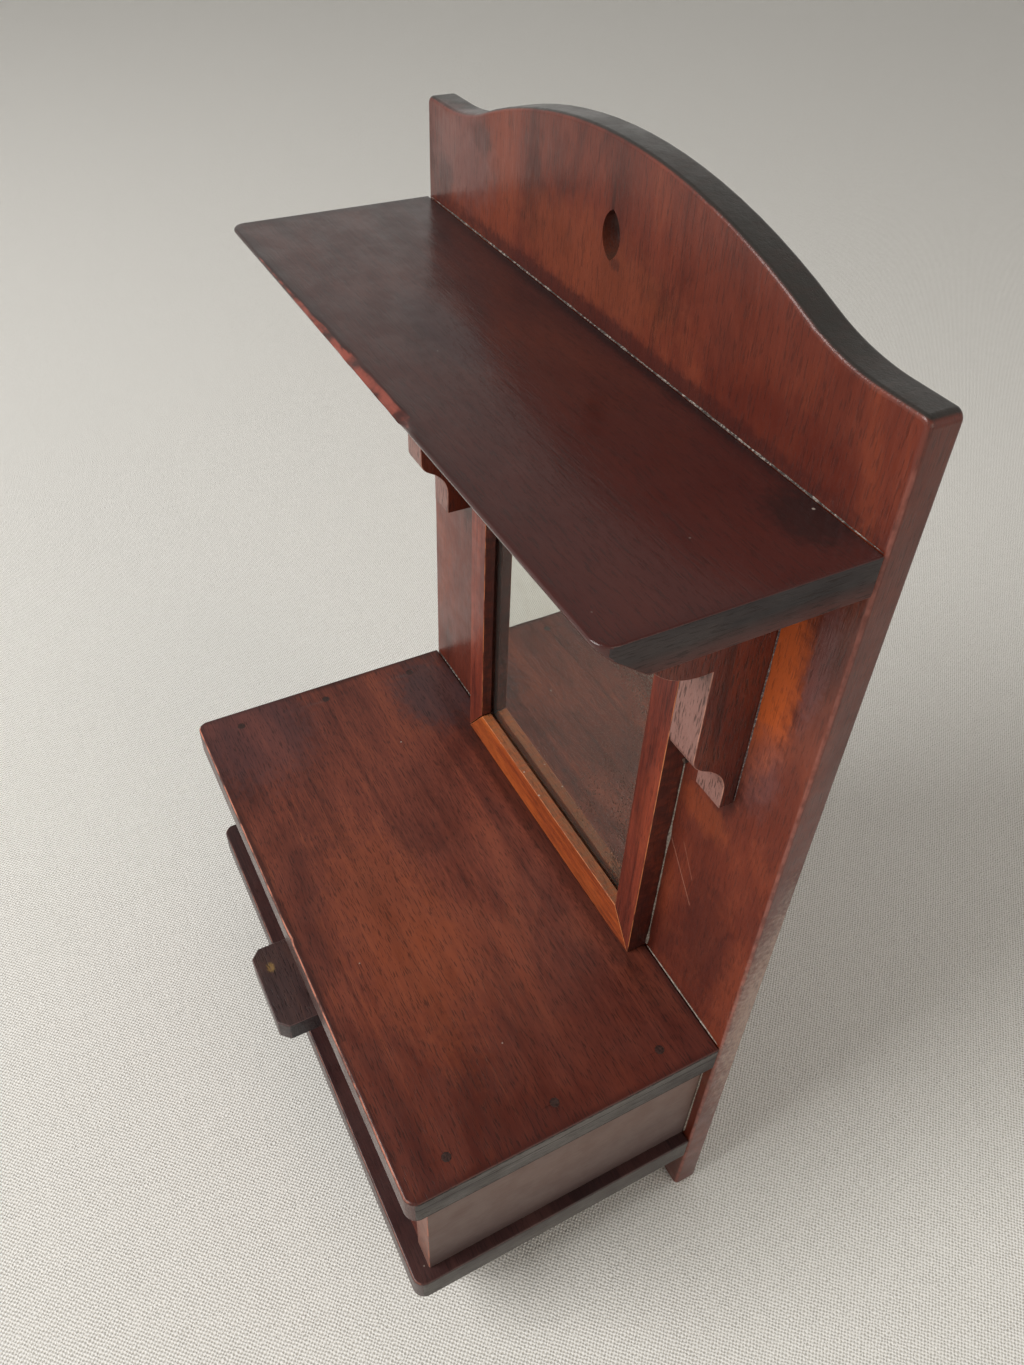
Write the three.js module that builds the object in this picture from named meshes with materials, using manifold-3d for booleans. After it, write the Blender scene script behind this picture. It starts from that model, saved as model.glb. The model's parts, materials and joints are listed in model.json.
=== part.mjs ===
// A small mahogany wall shelf that also stands on a table: a shaped back board carries an upper
// shelf on two brackets, a framed looking glass, and a low case with one drawer.
//
// Millimetres. +X is the object's right as seen from the front, +Y points to the wall, +Z is up.
// The origin is on the ground under the middle of the whole object, with its drawer shut. The
// pieces are laid out from the back board's front face, which is y = 0 inside the shelf's group.

import * as THREE from "three";
import { mergeVertices } from "three/addons/utils/BufferGeometryUtils.js";
import Module from "manifold-3d";

// ---- Driving dimensions -------------------------------------------------------------------

const WIDTH = 226; // back board, shelves and base board
const GAP = 0.3; // glue line between two pieces that meet
const CURVE_STEPS = 10; // straight runs in a rounded corner or arc

const BOARD_THICKNESS = 9.5;
const SHOULDER_HEIGHT = 348.5;
const CREST_HEIGHT = 366.8;
const CREST_RADIUS = 207.6; // the broad arch
const COVE_RADIUS = 70.7; // the hollow between the arch and a shoulder
const SHOULDER_ROUND = 2.5;
const FOOT_ROUND = 2;

const HANG_HOLE_WIDTH = 8.4;
const HANG_HOLE_HEIGHT = 13;
const HANG_HOLE_CENTRE = 343.2;

const UPPER_TOP = 317.4;
const UPPER_THICKNESS = 11;
const UPPER_DEPTH = 69;
const UPPER_NOSE = 1.4; // upright part of the upper shelf's front edge
const UPPER_BEVEL = 12.3; // how far the rest of that edge slopes back underneath
const LOWER_TOP = 112.2;
const LOWER_THICKNESS = 12.7;
const LOWER_DEPTH = 114.5;
const BASE_TOP = 41.5;
const BASE_THICKNESS = 12.4;
const BASE_DEPTH = 113.5;
const SHELF_CORNER = 4.5; // radius of the front corners in plan

const SIDE_THICKNESS = 10;
const SIDE_INSET = 4.3; // from the end of the shelf above
const SIDE_FRONT = 107; // front edge, measured from the back board

const BRACKET_THICKNESS = 11.6;
const BRACKET_OUTER = 90; // outer face, from the middle of the object
const LOBE_DEPTH = 41.5; // the quarter round under the shelf
const LOBE_RADIUS = 20;
const LOBE_BOTTOM = 272.8;
// The two brackets were cut by eye, so each has its own depth, nose and length.
const LEFT_BRACKET = { depth: 20.8, nose: 10.2, curveTop: 237, bottom: 212.4 };
const RIGHT_BRACKET = { depth: 18.5, nose: 5.2, curveTop: 241.5, bottom: 215.2 };

const FRAME_CENTRE = 2.8; // the looking glass sits a little right of the middle
const FRAME_WIDTH = 128.6;
const FRAME_DEPTH = 8.4; // front face, measured from the back board
const STILE_WIDTH = 11.2;
const BOTTOM_RAIL_WIDTH = 15;
const TOP_RAIL_WIDTH = 11.2;
const REBATE_WIDTH = 3.5;
const LIP_THICKNESS = 4.3;
const GLASS_THICKNESS = 2;
const BACKING_THICKNESS = 0.9;
const SAW_KERF = 0.35;

const FOOT_SIZE = 20;
const FOOT_INSET = 12; // from the base board's end and front edge
const FOOT_CHAMFER = 1.5;

const DRAWER_SIDE_CLEARANCE = 0.6;
const DRAWER_TOP_CLEARANCE = 0.7;
const DRAWER_LIFT = 0.4; // running clearance over the base board
const DRAWER_SETBACK = 0.6; // front face behind the case sides' front edges
const DRAWER_FRONT_THICKNESS = 10;
const DRAWER_SIDE_THICKNESS = 7;
const DRAWER_SIDE_HEIGHT = 55;
const DRAWER_BACK_CLEARANCE = 4;
const DRAWER_BOTTOM_THICKNESS = 3.2;
const DRAWER_BOTTOM_HEIGHT = 2.8; // underside above the drawer's lower edge
const GROOVE_DEPTH = 2.4;
const LAP_DEPTH = 6; // how far a drawer side runs into the rebate in the drawer front

const PULL_WIDTH = 37.6;
const PULL_REACH = 20;
const PULL_HEIGHT = 9.5;
const PULL_CHAMFER = 3.6;

const BRAD = { shank: 0.8, head: 1.4, headHeight: 0.8, length: 26, sunk: 0.5 };
const PIN = { shank: 0.6, head: 1.0, headHeight: 0.6, length: 14, sunk: 0.2 };
const SCREW = { shank: 1.5, head: 3.2, headHeight: 1.6, length: 20, sunk: -1.6 };
const NAIL_SIDES = 8;

// ---- Values that follow from them ---------------------------------------------------------

const HALF = WIDTH / 2;
const UPPER_UNDERSIDE = UPPER_TOP - UPPER_THICKNESS;
const LOWER_UNDERSIDE = LOWER_TOP - LOWER_THICKNESS;
const BASE_UNDERSIDE = BASE_TOP - BASE_THICKNESS;
const SIDE_OUTER = HALF - SIDE_INSET;
const SIDE_MIDDLE = SIDE_OUTER - SIDE_THICKNESS / 2;
const SIDE_HEIGHT = LOWER_UNDERSIDE - BASE_TOP - 2 * GAP;
const DRAWER_WIDTH = 2 * (SIDE_OUTER - SIDE_THICKNESS - DRAWER_SIDE_CLEARANCE);
const DRAWER_FRONT_HEIGHT = LOWER_UNDERSIDE - BASE_TOP - DRAWER_LIFT - DRAWER_TOP_CLEARANCE;
const DRAWER_LENGTH = SIDE_FRONT - DRAWER_SETBACK - DRAWER_BACK_CLEARANCE;
const FRONT_REACH = SIDE_FRONT - DRAWER_SETBACK + PULL_REACH; // front of the pull

// ---- Materials ----------------------------------------------------------------------------

const wood = (color, roughness) =>
  new THREE.MeshStandardMaterial({ color, roughness, metalness: 0 });

const MAHOGANY = wood(0x5a2a20, 0.35);
const DARK_MAHOGANY = wood(0x3c1f1e, 0.35);
const FRAME_WOOD = wood(0x7a3f22, 0.4);
const DRAWER_WOOD = wood(0x8a6a48, 0.7);
const BACKING_WOOD = wood(0x6e5a44, 0.85);
const MIRROR = new THREE.MeshStandardMaterial({ color: 0xcfd2d0, roughness: 0.05, metalness: 1 });
const IRON = new THREE.MeshStandardMaterial({ color: 0x2a2624, roughness: 0.6, metalness: 0.9 });

// ---- Solids: joining and cutting ----------------------------------------------------------

const wasm = await Module();
wasm.setup();

function toSolid(geometry) {
  const bare = geometry.clone();
  bare.deleteAttribute("normal");
  bare.deleteAttribute("uv");
  const merged = mergeVertices(bare, 1e-4);
  return new wasm.Manifold(
    new wasm.Mesh({
      numProp: 3,
      vertProperties: merged.attributes.position.array,
      triVerts: new Uint32Array(merged.index.array),
    }),
  );
}

function toGeometry(solid) {
  const mesh = solid.getMesh();
  const geometry = new THREE.BufferGeometry();
  geometry.setAttribute("position", new THREE.BufferAttribute(mesh.vertProperties, 3));
  geometry.setIndex(new THREE.BufferAttribute(mesh.triVerts, 1));
  geometry.computeVertexNormals();
  return geometry;
}

function cut(geometry, tools) {
  return toGeometry(tools.reduce((left, tool) => left.subtract(toSolid(tool)), toSolid(geometry)));
}

// ---- Shapes -------------------------------------------------------------------------------

// A box given by its two opposite corners.
function boxBetween(low, high) {
  const size = high.map((value, i) => value - low[i]);
  const middle = high.map((value, i) => (value + low[i]) / 2);
  return new THREE.BoxGeometry(...size).translate(...middle);
}

// A plan outline (x, y) extruded upwards.
function extrudeUp(shape, height) {
  return new THREE.ExtrudeGeometry(shape, {
    depth: height,
    bevelEnabled: false,
    curveSegments: CURVE_STEPS,
  });
}

// A front outline (x, z) extruded from y = 0 towards the wall.
function extrudeBack(shape, depth) {
  return extrudeUp(shape, depth).rotateX(Math.PI / 2).translate(0, depth, 0);
}

// A side outline (y, z) extruded along x, centred on x = 0.
function extrudeAcross(shape, thickness) {
  const turn = new THREE.Matrix4().makeBasis(
    new THREE.Vector3(0, 1, 0),
    new THREE.Vector3(0, 0, 1),
    new THREE.Vector3(1, 0, 0),
  );
  return extrudeUp(shape, thickness).applyMatrix4(turn).translate(-thickness / 2, 0, 0);
}

// A nail standing along +Y with its driven surface at y = 0. `ease` widens it into its own hole,
// which runs out through the surface.
function nailGeometry(nail, ease = 0) {
  const top = ease > 0 ? nail.headHeight + 2 : -nail.sunk;
  const neck = -nail.sunk - nail.headHeight - ease;
  const tip = -nail.length - ease;
  const profile = [
    [0, tip],
    [nail.shank + ease, tip],
    [nail.shank + ease, neck],
    [nail.head + ease, neck],
    [nail.head + ease, top],
    [0, top],
  ];
  return new THREE.LatheGeometry(profile.map((p) => new THREE.Vector2(...p)), NAIL_SIDES);
}

// Which way each kind of nail faces: the head ends up on this side.
const HEAD = {
  up: [Math.PI / 2, 0, 0],
  down: [-Math.PI / 2, 0, 0],
  back: [0, 0, 0],
  left: [0, 0, Math.PI / 2],
  right: [0, 0, -Math.PI / 2],
};

// The hole for a nail, in the frame of the piece that it is cut from.
function nailHole(nail, facing, at) {
  const euler = new THREE.Euler(...HEAD[facing]);
  return nailGeometry(nail, GAP)
    .applyMatrix4(new THREE.Matrix4().makeRotationFromEuler(euler))
    .translate(...at);
}

// ---- Placing ------------------------------------------------------------------------------

function add(parent, name, geometry, material, at = [0, 0, 0]) {
  const mesh = new THREE.Mesh(geometry, material);
  mesh.name = name;
  mesh.position.set(...at);
  parent.add(mesh);
  return mesh;
}

function addNail(parent, name, nail, facing, at) {
  add(parent, name, nailGeometry(nail), IRON, at).rotation.set(...HEAD[facing]);
}

function group(parent, at = [0, 0, 0]) {
  const made = new THREE.Group();
  made.position.set(...at);
  parent.add(made);
  return made;
}

const SIDES = [
  ["left", -1],
  ["right", 1],
];

// ---- Where the nails go -------------------------------------------------------------------

const SIDE_NAIL_DEPTHS = [18.5, 59, 97.5]; // from the back board, through both shelves of the case
const UPPER_NAIL_X = [-85, 0, 85];
const CASE_NAIL_X = [-70, 70];
const BRACKET_NAIL_HEIGHTS = [235, 285];
const BRACKET_X = BRACKET_OUTER - BRACKET_THICKNESS / 2;
const DRAWER_NAIL_HEIGHTS = [16, 42]; // above the drawer's lower edge

// Nails driven through the back board from the wall side: name, x and z.
function backNails() {
  const nails = [];
  const row = (name, xs, z) => xs.forEach((x, i) => nails.push([`${name}_${i + 1}`, x, z]));
  row("upper_shelf_back_nail", UPPER_NAIL_X, UPPER_TOP - UPPER_THICKNESS / 2);
  row("lower_shelf_back_nail", CASE_NAIL_X, LOWER_TOP - LOWER_THICKNESS / 2);
  row("base_board_back_nail", CASE_NAIL_X, BASE_TOP - BASE_THICKNESS / 2);
  for (const [side, sign] of SIDES)
    BRACKET_NAIL_HEIGHTS.forEach((z, i) => {
      nails.push([`${side}_bracket_nail_${i + 1}`, sign * BRACKET_X, z]);
    });
  return nails;
}

// ---- Back board ---------------------------------------------------------------------------

// Half of the top edge follows two arcs that touch: the arch, and the hollow that runs out
// level on to the shoulder.
function backBoardOutline() {
  const archCentre = CREST_HEIGHT - CREST_RADIUS;
  const coveCentre = SHOULDER_HEIGHT + COVE_RADIUS;
  const reach = CREST_RADIUS + COVE_RADIUS;
  const coveX = Math.sqrt(reach ** 2 - (coveCentre - archCentre) ** 2);
  const turn = Math.asin(coveX / reach); // of the arch, from its top to where the arcs touch
  const up = Math.PI / 2;
  const shape = new THREE.Shape();
  shape.absarc(HALF - FOOT_ROUND, FOOT_ROUND, FOOT_ROUND, -up, 0, false);
  shape.absarc(HALF - SHOULDER_ROUND, SHOULDER_HEIGHT - SHOULDER_ROUND, SHOULDER_ROUND, 0, up, false);
  shape.absarc(coveX, coveCentre, COVE_RADIUS, -up, -up - turn, true);
  shape.absarc(0, archCentre, CREST_RADIUS, up - turn, up + turn, false);
  shape.absarc(-coveX, coveCentre, COVE_RADIUS, -up + turn, -up, true);
  shape.absarc(SHOULDER_ROUND - HALF, SHOULDER_HEIGHT - SHOULDER_ROUND, SHOULDER_ROUND, up, 2 * up, false);
  shape.absarc(FOOT_ROUND - HALF, FOOT_ROUND, FOOT_ROUND, 2 * up, 3 * up, false);
  shape.closePath();
  return shape;
}

// The hole to hang the shelf by: a pointed oval between two arcs.
function hangHoleOutline() {
  const half = HANG_HOLE_HEIGHT / 2;
  const bulge = HANG_HOLE_WIDTH / 2;
  const radius = (half ** 2 + bulge ** 2) / (2 * bulge);
  const angle = Math.asin(half / radius);
  const hole = new THREE.Path();
  hole.absarc(bulge - radius, HANG_HOLE_CENTRE, radius, angle, -angle, true);
  hole.absarc(radius - bulge, HANG_HOLE_CENTRE, radius, Math.PI + angle, Math.PI - angle, true);
  return hole;
}

function addBackBoard(parent) {
  const outline = backBoardOutline();
  outline.holes.push(hangHoleOutline());
  const holes = backNails().map(([, x, z]) => nailHole(BRAD, "back", [x, BOARD_THICKNESS, z]));
  add(parent, "back_board", cut(extrudeBack(outline, BOARD_THICKNESS), holes), MAHOGANY);
  for (const [name, x, z] of backNails()) addNail(parent, name, BRAD, "back", [x, BOARD_THICKNESS, z]);
}

// ---- Shelves and brackets -----------------------------------------------------------------

// A shelf in plan: straight back against the board, rounded front corners.
function shelfOutline(depth) {
  const r = SHELF_CORNER;
  const quarter = Math.PI / 2;
  const shape = new THREE.Shape();
  shape.moveTo(HALF, -GAP);
  shape.lineTo(-HALF, -GAP);
  shape.absarc(r - HALF, r - depth, r, 2 * quarter, 3 * quarter, false);
  shape.absarc(HALF - r, r - depth, r, 3 * quarter, 4 * quarter, false);
  shape.closePath();
  return shape;
}

// Holes in the back edge of a shelf for the nails that come through the back board.
function edgeHoles(xs, thickness) {
  return xs.map((x) => nailHole(BRAD, "back", [x, BOARD_THICKNESS, thickness / 2]));
}

// The wedge planed off under the upper shelf's front edge.
function underBevel() {
  const rise = UPPER_THICKNESS - UPPER_NOSE;
  const slope = rise / UPPER_BEVEL;
  const shape = new THREE.Shape();
  shape.moveTo(-UPPER_DEPTH - 1, -slope);
  shape.lineTo(-UPPER_DEPTH + UPPER_BEVEL + 1, -slope);
  shape.lineTo(-UPPER_DEPTH - 1, rise + slope);
  shape.closePath();
  return extrudeAcross(shape, WIDTH + 2);
}

function addUpperShelf(parent) {
  const at = group(parent, [0, 0, UPPER_UNDERSIDE]);
  const board = extrudeUp(shelfOutline(UPPER_DEPTH), UPPER_THICKNESS);
  const tools = [underBevel(), ...edgeHoles(UPPER_NAIL_X, UPPER_THICKNESS)];
  add(at, "upper_shelf", cut(board, tools), DARK_MAHOGANY);
}

// A bracket from the side: a quarter round lobe under the shelf, a step back to a straight front
// edge, then a rounded step back to a short nose.
function bracketOutline({ depth, nose, curveTop, bottom }) {
  const round = depth - nose;
  const shape = new THREE.Shape();
  shape.moveTo(-GAP, bottom);
  shape.lineTo(-GAP, UPPER_UNDERSIDE - GAP);
  shape.lineTo(-LOBE_DEPTH, UPPER_UNDERSIDE - GAP);
  const lobe = [LOBE_RADIUS - LOBE_DEPTH, LOBE_BOTTOM + LOBE_RADIUS];
  shape.absarc(...lobe, LOBE_RADIUS, Math.PI, 1.5 * Math.PI, false);
  shape.lineTo(-depth, LOBE_BOTTOM);
  shape.lineTo(-depth, curveTop);
  shape.quadraticCurveTo(-depth, curveTop - 0.3 * round, -depth + 0.36 * round, curveTop - 0.5 * round);
  shape.bezierCurveTo(
    -depth + 0.62 * round,
    curveTop - 0.62 * round,
    -nose,
    curveTop - 0.95 * round,
    -nose,
    curveTop - 1.45 * round,
  );
  shape.lineTo(-nose, bottom);
  shape.closePath();
  return shape;
}

function addBracket(parent, side, sign, form) {
  const x = sign * BRACKET_X;
  const holes = BRACKET_NAIL_HEIGHTS.map((z) => nailHole(BRAD, "back", [0, BOARD_THICKNESS, z]));
  const solid = cut(extrudeAcross(bracketOutline(form), BRACKET_THICKNESS), holes);
  add(parent, `${side}_bracket`, solid, MAHOGANY, [x, 0, 0]);
}

// ---- Looking glass ------------------------------------------------------------------------

// The frame's members are mitred. Each runs from an outer to an inner corner at both ends, and
// a saw kerf parts it from its neighbours. A rebate behind the lip holds the glass.
function addLookingGlass(parent) {
  const at = group(parent, [FRAME_CENTRE, -FRAME_DEPTH, LOWER_TOP + GAP]);
  const height = UPPER_UNDERSIDE - LOWER_TOP - 2 * GAP;
  const half = FRAME_WIDTH / 2;
  const sight = half - STILE_WIDTH;
  const sightTop = height - TOP_RAIL_WIDTH;
  const outer = [[-half, 0], [half, 0], [half, height], [-half, height]];
  const inner = [
    [-sight, BOTTOM_RAIL_WIDTH],
    [sight, BOTTOM_RAIL_WIDTH],
    [sight, sightTop],
    [-sight, sightTop],
  ];
  const depth = FRAME_DEPTH - GAP;
  const rebate = boxBetween(
    [-sight - REBATE_WIDTH, LIP_THICKNESS, BOTTOM_RAIL_WIDTH - REBATE_WIDTH],
    [sight + REBATE_WIDTH, FRAME_DEPTH + 1, sightTop + REBATE_WIDTH],
  );
  const kerfs = outer.map((corner, i) => kerfGeometry(corner, inner[i]));
  ["bottom_rail", "right_stile", "top_rail", "left_stile"].forEach((name, i) => {
    const next = (i + 1) % 4;
    const corners = [outer[i], outer[next], inner[next], inner[i]];
    const shape = new THREE.Shape(corners.map((p) => new THREE.Vector2(...p)));
    const member = cut(extrudeBack(shape, depth), [rebate, kerfs[i], kerfs[next]]);
    add(at, `frame_${name}`, member, FRAME_WOOD);
  });
  addGlass(at, sight, sightTop);
}

// A thin upright slab along a mitre line, running past both of its ends.
function kerfGeometry(outerCorner, innerCorner) {
  const run = [innerCorner[0] - outerCorner[0], innerCorner[1] - outerCorner[1]];
  const length = Math.hypot(...run);
  return new THREE.BoxGeometry(length + 4, 3 * FRAME_DEPTH, SAW_KERF)
    .rotateY(-Math.atan2(run[1], run[0]))
    .translate(outerCorner[0] + run[0] / 2, 0, outerCorner[1] + run[1] / 2);
}

function addGlass(at, sight, sightTop) {
  const inset = REBATE_WIDTH - GAP;
  const plate = (front, thickness) =>
    boxBetween(
      [-sight - inset, front, BOTTOM_RAIL_WIDTH - inset],
      [sight + inset, front + thickness, sightTop + inset],
    );
  const glassFront = LIP_THICKNESS + GAP;
  add(at, "mirror_glass", plate(glassFront, GLASS_THICKNESS), MIRROR);
  add(at, "mirror_backing", plate(glassFront + GLASS_THICKNESS + GAP, BACKING_THICKNESS), BACKING_WOOD);
}

// ---- Case ---------------------------------------------------------------------------------

function addLowerShelf(parent) {
  const at = group(parent, [0, 0, LOWER_UNDERSIDE]);
  const holes = edgeHoles(CASE_NAIL_X, LOWER_THICKNESS);
  for (const [side, sign] of SIDES)
    SIDE_NAIL_DEPTHS.forEach((depth, i) => {
      const spot = [sign * SIDE_MIDDLE, -depth, LOWER_THICKNESS];
      holes.push(nailHole(BRAD, "up", spot));
      addNail(at, `lower_shelf_${side}_nail_${i + 1}`, BRAD, "up", spot);
    });
  add(at, "lower_shelf", cut(extrudeUp(shelfOutline(LOWER_DEPTH), LOWER_THICKNESS), holes), MAHOGANY);
}

function addBaseBoard(parent) {
  const at = group(parent, [0, 0, BASE_UNDERSIDE]);
  const holes = edgeHoles(CASE_NAIL_X, BASE_THICKNESS);
  for (const [side, sign] of SIDES) {
    SIDE_NAIL_DEPTHS.forEach((depth, i) => {
      const spot = [sign * SIDE_MIDDLE, -depth, 0];
      holes.push(nailHole(BRAD, "down", spot));
      addNail(at, `base_board_${side}_nail_${i + 1}`, BRAD, "down", spot);
    });
    holes.push(nailHole(BRAD, "up", footNailSpot(sign)));
    addNail(at, `${side}_foot_nail`, BRAD, "up", footNailSpot(sign));
  }
  add(at, "base_board", cut(extrudeUp(shelfOutline(BASE_DEPTH), BASE_THICKNESS), holes), MAHOGANY);
}

function addCaseSide(parent, side, sign) {
  const top = LOWER_UNDERSIDE - GAP;
  const panel = boxBetween(
    [-SIDE_THICKNESS / 2, -SIDE_FRONT, BASE_TOP + GAP],
    [SIDE_THICKNESS / 2, -GAP, top],
  );
  const holes = SIDE_NAIL_DEPTHS.flatMap((depth) => [
    nailHole(BRAD, "up", [0, -depth, LOWER_TOP]),
    nailHole(BRAD, "down", [0, -depth, BASE_UNDERSIDE]),
  ]);
  add(parent, `case_${side}_side`, cut(panel, holes), MAHOGANY, [sign * SIDE_MIDDLE, 0, 0]);
}

// ---- Front feet ---------------------------------------------------------------------------

const FOOT_X = HALF - FOOT_INSET - FOOT_SIZE / 2;
const FOOT_Y = -BASE_DEPTH + FOOT_INSET + FOOT_SIZE / 2;
const FOOT_HEIGHT = BASE_UNDERSIDE - GAP;

// On top of the base board, over the middle of a foot.
function footNailSpot(sign) {
  return [sign * FOOT_X, FOOT_Y, BASE_THICKNESS];
}

// A square block with its four upright corners taken off.
function addFrontFoot(parent, side, sign) {
  const half = FOOT_SIZE / 2;
  const flat = half - FOOT_CHAMFER;
  const corners = [
    [half, -flat], [half, flat], [flat, half], [-flat, half],
    [-half, flat], [-half, -flat], [-flat, -half], [flat, -half],
  ];
  const shape = new THREE.Shape(corners.map((p) => new THREE.Vector2(...p)));
  const hole = nailHole(BRAD, "up", [0, 0, BASE_TOP]);
  const block = cut(extrudeUp(shape, FOOT_HEIGHT), [hole]);
  add(parent, `${side}_front_foot`, block, DARK_MAHOGANY, [sign * FOOT_X, FOOT_Y, 0]);
}

// ---- Drawer -------------------------------------------------------------------------------

// The drawer's own frame: x = 0 in the middle, y = 0 on its front face, z = 0 on its lower edge.
const DRAWER_HALF = DRAWER_WIDTH / 2;
const DRAWER_SIDE_START = DRAWER_FRONT_THICKNESS - LAP_DEPTH + GAP;
const DRAWER_BACK_FACE = DRAWER_LENGTH - DRAWER_SIDE_THICKNESS;
const BOTTOM_TOP = DRAWER_BOTTOM_HEIGHT + DRAWER_BOTTOM_THICKNESS;
const FRONT_NAIL_Y = DRAWER_FRONT_THICKNESS - LAP_DEPTH / 2;
const BACK_NAIL_Y = DRAWER_LENGTH - DRAWER_SIDE_THICKNESS / 2;
const PULL_MIDDLE = DRAWER_FRONT_HEIGHT / 2;

// The groove that the drawer bottom lies in, cut into the front and both sides.
function bottomGroove() {
  const reach = DRAWER_HALF - DRAWER_SIDE_THICKNESS + GROOVE_DEPTH;
  return boxBetween(
    [-reach, DRAWER_FRONT_THICKNESS - GROOVE_DEPTH, DRAWER_BOTTOM_HEIGHT - GAP],
    [reach, DRAWER_LENGTH + 1, BOTTOM_TOP + GAP],
  );
}

// Holes for the nails that come through a drawer side, at one end of it.
function drawerNailHoles(sign, y) {
  const facing = sign < 0 ? "left" : "right";
  return DRAWER_NAIL_HEIGHTS.map((z) => nailHole(PIN, facing, [sign * DRAWER_HALF, y, z]));
}

function addDrawerFront(drawer) {
  const front = boxBetween(
    [-DRAWER_HALF, 0, 0],
    [DRAWER_HALF, DRAWER_FRONT_THICKNESS, DRAWER_FRONT_HEIGHT],
  );
  const tools = [bottomGroove()];
  for (const [, sign] of SIDES) {
    const ends = [sign * (DRAWER_HALF - DRAWER_SIDE_THICKNESS - GAP), sign * (DRAWER_HALF + 1)];
    const low = [Math.min(...ends), DRAWER_FRONT_THICKNESS - LAP_DEPTH, -1];
    const high = [Math.max(...ends), DRAWER_FRONT_THICKNESS + 1, DRAWER_FRONT_HEIGHT + 1];
    tools.push(boxBetween(low, high), ...drawerNailHoles(sign, FRONT_NAIL_Y));
  }
  tools.push(nailHole(SCREW, "back", [0, DRAWER_FRONT_THICKNESS, PULL_MIDDLE]));
  add(drawer, "drawer_front", cut(front, tools), MAHOGANY);
}

function addDrawerSide(drawer, side, sign) {
  const ends = [sign * DRAWER_HALF, sign * (DRAWER_HALF - DRAWER_SIDE_THICKNESS)];
  const panel = boxBetween(
    [Math.min(...ends), DRAWER_SIDE_START, 0],
    [Math.max(...ends), DRAWER_LENGTH, DRAWER_SIDE_HEIGHT],
  );
  const holes = [...drawerNailHoles(sign, FRONT_NAIL_Y), ...drawerNailHoles(sign, BACK_NAIL_Y)];
  add(drawer, `drawer_${side}_side`, cut(panel, [bottomGroove(), ...holes]), DRAWER_WOOD);
  for (const [end, y] of [["front", FRONT_NAIL_Y], ["back", BACK_NAIL_Y]])
    DRAWER_NAIL_HEIGHTS.forEach((z, i) =>
      addNail(drawer, `drawer_${side}_${end}_pin_${i + 1}`, PIN, side, [sign * DRAWER_HALF, y, z]),
    );
}

function addDrawerBack(drawer) {
  const reach = DRAWER_HALF - DRAWER_SIDE_THICKNESS - GAP;
  const panel = boxBetween(
    [-reach, DRAWER_BACK_FACE, BOTTOM_TOP + GAP],
    [reach, DRAWER_LENGTH, DRAWER_SIDE_HEIGHT - 2],
  );
  const holes = SIDES.flatMap(([, sign]) => drawerNailHoles(sign, BACK_NAIL_Y));
  add(drawer, "drawer_back", cut(panel, holes), DRAWER_WOOD);
}

function addDrawerBottom(drawer) {
  const reach = DRAWER_HALF - DRAWER_SIDE_THICKNESS + GROOVE_DEPTH - GAP;
  const panel = boxBetween(
    [-reach, DRAWER_FRONT_THICKNESS - GROOVE_DEPTH + GAP, DRAWER_BOTTOM_HEIGHT],
    [reach, DRAWER_LENGTH, BOTTOM_TOP],
  );
  add(drawer, "drawer_bottom", panel, DRAWER_WOOD);
}

// The pull in plan: a block with its two front corners chamfered.
function addDrawerPull(drawer) {
  const half = PULL_WIDTH / 2;
  const flat = half - PULL_CHAMFER;
  const shoulder = PULL_CHAMFER - PULL_REACH;
  const corners = [
    [half, -GAP], [-half, -GAP], [-half, shoulder],
    [-flat, -PULL_REACH], [flat, -PULL_REACH], [half, shoulder],
  ];
  const shape = new THREE.Shape(corners.map((p) => new THREE.Vector2(...p)));
  const middle = PULL_HEIGHT / 2;
  const hole = nailHole(SCREW, "back", [0, DRAWER_FRONT_THICKNESS, middle]);
  const block = cut(extrudeUp(shape, PULL_HEIGHT), [hole]);
  add(drawer, "drawer_pull", block, DARK_MAHOGANY, [0, 0, PULL_MIDDLE - middle]);
  addNail(drawer, "pull_screw", SCREW, "back", [0, DRAWER_FRONT_THICKNESS, PULL_MIDDLE]);
}

function addDrawer(parent) {
  const drawer = group(parent, [0, DRAWER_SETBACK - SIDE_FRONT, BASE_TOP + DRAWER_LIFT]);
  addDrawerFront(drawer);
  for (const [side, sign] of SIDES) addDrawerSide(drawer, side, sign);
  addDrawerBack(drawer);
  addDrawerBottom(drawer);
  addDrawerPull(drawer);
}

// ---- The whole shelf ----------------------------------------------------------------------

const dressingShelf = new THREE.Group();
const shelf = group(dressingShelf, [0, (FRONT_REACH - BOARD_THICKNESS) / 2, 0]);
addBackBoard(shelf);
addUpperShelf(shelf);
addBracket(shelf, "left", -1, LEFT_BRACKET);
addBracket(shelf, "right", 1, RIGHT_BRACKET);
addLookingGlass(shelf);
addLowerShelf(shelf);
addBaseBoard(shelf);
for (const [side, sign] of SIDES) {
  addCaseSide(shelf, side, sign);
  addFrontFoot(shelf, side, sign);
}
addDrawer(shelf);

export default dressingShelf;
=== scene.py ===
import json
import math

import bmesh
import bpy
from mathutils import Matrix, Vector, noise


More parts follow.
